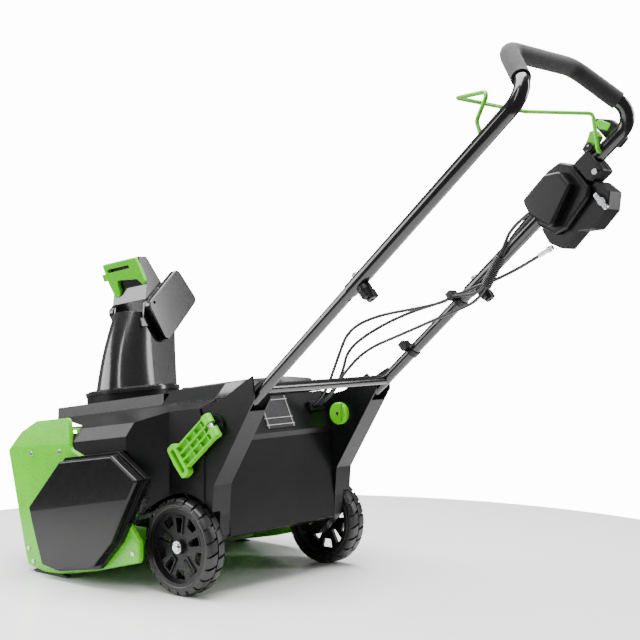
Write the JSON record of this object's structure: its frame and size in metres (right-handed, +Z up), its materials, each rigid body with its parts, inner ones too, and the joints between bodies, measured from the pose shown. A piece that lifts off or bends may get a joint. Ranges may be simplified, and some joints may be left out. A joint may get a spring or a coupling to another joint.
{
  "type": "cordless snow thrower",
  "caption": "Cordless single-stage snow thrower: wide auger housing, turning discharge chute with tilting hood, wheels and a folding handle with a control box.",
  "frame": {"origin": "middle of the scraper bar's ground edge", "axes": "+X to the operator's left, +Y back towards the operator, +Z up"},
  "size_m": [0.655, 1.3613, 1.0835],
  "materials": {
    "black_plastic": "injection-moulded black plastic with a fine satin grain",
    "green_plastic": "bright green moulded plastic",
    "green_paint": "bright green powder coat",
    "black_paint": "gloss black powder-coated steel tube",
    "steel": "zinc-plated steel",
    "pale_plastic": "off-white wear-resistant plastic",
    "bush_bronze": "sintered bronze",
    "rubber": "black rubber, foam and cable jacket",
    "tyre": "moulded tread",
    "aluminium": "turned",
    "label": "blank printed plate"
  },
  "bodies": {
    "chassis": {"side_panel_left": "green_plastic", "side_panel_right": "green_plastic", "housing_screws": "steel", "drive_cover": "black_plastic", "side_cover_right": "black_plastic", "auger_housing": "green_paint", "scraper_bar": "pale_plastic", "skid_strips": "black_plastic", "auger_bearings": "bush_bronze", "drive_belt": "rubber", "motor": "steel", "motor_controller": "black_plastic", "body_shroud": "black_plastic", "rear_cover": "black_plastic", "cable_gland": "black_plastic", "rating_plate": "label", "battery_pack": "black_plastic", "chute_collar": "black_plastic", "tower_left": "black_plastic", "tower_right": "black_plastic", "clamp_nuts": "green_plastic", "chassis_bolts": "steel"},
    "auger": {"auger_shaft": "black_paint", "auger_paddles": "rubber", "auger_pulley": "aluminium"},
    "rotor": {"motor_rotor": "steel"},
    "wheel_left": {"wheel_rim_left": "black_plastic", "tyre_left": "tyre"},
    "wheel_right": {"wheel_rim_right": "black_plastic", "tyre_right": "tyre"},
    "chute": {"chute": "black_plastic"},
    "deflector": {"deflector": "black_plastic", "deflector_grip": "green_plastic"},
    "deflector_trigger": {"deflector_trigger": "green_plastic"},
    "lid": {"battery_lid": "black_plastic"},
    "latch": {"lid_latch": "black_plastic"},
    "handle": {"handle_feet": "black_plastic", "lower_handle": "black_paint", "upper_handle": "black_paint", "foam_grip": "rubber", "handle_fasteners": "steel", "control_box_outer": "black_plastic", "control_box_inner": "black_plastic", "switch_pod": "black_plastic", "control_clamp": "black_plastic", "cable_bracket": "black_plastic", "cable_ferrule": "steel", "cable_clips": "black_plastic", "coil_sleeve": "black_plastic", "switch_cable": "rubber", "trigger_cable": "rubber", "chute_cable": "rubber"},
    "clamp_lever_left": {"clamp_lever_left": "green_plastic"},
    "clamp_lever_right": {"clamp_lever_right": "green_plastic"},
    "wing_knob_left": {"wing_knob_left": "black_plastic"},
    "wing_knob_right": {"wing_knob_right": "black_plastic"},
    "bail": {"bail": "green_paint"},
    "paddle": {"start_paddle": "green_plastic"},
    "chute_lever": {"chute_lever": "black_plastic", "chute_lever_pad": "green_plastic"}
  },
  "joints": [
    {"name": "auger_spin", "type": "hinge", "parent": "chassis", "child": "auger", "pos_m": [0, 0.026, 0.128], "axis": [1, 0, 0], "continuous": true},
    {"name": "motor_spin", "type": "hinge", "parent": "chassis", "child": "rotor", "pos_m": [0, 0.236, 0.196], "axis": [1, 0, 0], "continuous": true},
    {"name": "wheel_left_spin", "type": "hinge", "parent": "chassis", "child": "wheel_left", "pos_m": [0.2275, 0.37, 0.1015], "axis": [1, 0, 0], "continuous": true},
    {"name": "wheel_right_spin", "type": "hinge", "parent": "chassis", "child": "wheel_right", "pos_m": [-0.2275, 0.37, 0.1015], "axis": [1, 0, 0], "continuous": true},
    {"name": "chute_rotate", "type": "hinge", "parent": "chassis", "child": "chute", "pos_m": [0, -0.054, 0.4], "axis": [0, -0.1392, 0.9903], "range_deg": [0, 180]},
    {"name": "deflector_tilt", "type": "hinge", "parent": "chute", "child": "deflector", "pos_m": [-0.027, -0.08225, 0.60102], "axis": [0, -0.9903, -0.1392], "range_deg": [0, 45]},
    {"name": "deflector_trigger_press", "type": "slide", "parent": "deflector", "child": "deflector_trigger", "axis": [0, 0.9903, 0.1392], "range_m": [0, 0.0035], "stiffness_N_per_m": 400},
    {"name": "lid_open", "type": "hinge", "parent": "chassis", "child": "lid", "pos_m": [0, 0.22315, 0.41701], "axis": [1, 0, 0], "range_deg": [0, 75]},
    {"name": "latch_press", "type": "slide", "parent": "lid", "child": "latch", "axis": [0, -0.9903, -0.1392], "range_m": [0, 0.004], "stiffness_N_per_m": 500},
    {"name": "handle_fold", "type": "hinge", "parent": "chassis", "child": "handle", "pos_m": [0, 0.464, 0.36], "axis": [1, 0, 0], "range_deg": [0, 75], "deforming": ["switch_cable", "trigger_cable", "chute_cable"]},
    {"name": "clamp_left_flip", "type": "hinge", "parent": "chassis", "child": "clamp_lever_left", "pos_m": [0.24, 0.464, 0.36], "axis": [0, -0.6428, 0.766], "range_deg": [0, 100]},
    {"name": "clamp_right_flip", "type": "hinge", "parent": "chassis", "child": "clamp_lever_right", "pos_m": [-0.24, 0.464, 0.36], "axis": [0, 0.6428, -0.766], "range_deg": [0, 100]},
    {"name": "knob_left_turn", "type": "hinge", "parent": "handle", "child": "wing_knob_left", "pos_m": [0.198, 0.81192, 0.66244], "axis": [0, -0.6561, 0.7547], "continuous": true},
    {"name": "knob_right_turn", "type": "hinge", "parent": "handle", "child": "wing_knob_right", "pos_m": [-0.198, 0.81192, 0.66244], "axis": [0, -0.6561, 0.7547], "continuous": true},
    {"name": "bail_squeeze", "type": "hinge", "parent": "handle", "child": "bail", "pos_m": [0, 1.11403, 0.90784], "axis": [-1, 0, 0], "range_deg": [0, 38], "stiffness_Nm_per_rad": 1.5, "springref_deg": -20.05},
    {"name": "paddle_press", "type": "hinge", "parent": "handle", "child": "paddle", "pos_m": [-0.198, 1.08943, 0.9209], "axis": [-1, 0, 0], "range_deg": [0, 8], "stiffness_Nm_per_rad": 0.4, "springref_deg": -2.86},
    {"name": "chute_lever_swing", "type": "hinge", "parent": "handle", "child": "chute_lever", "pos_m": [-0.2245, 1.13359, 0.93412], "axis": [-1, 0, 0], "range_deg": [0, 60]}
  ],
  "couplings": [
    {"joint": "motor_spin", "follows": "auger_spin", "ratio": 2.9231},
    {"joint": "chute_lever_swing", "follows": "chute_rotate", "ratio": 0.33333}
  ]
}
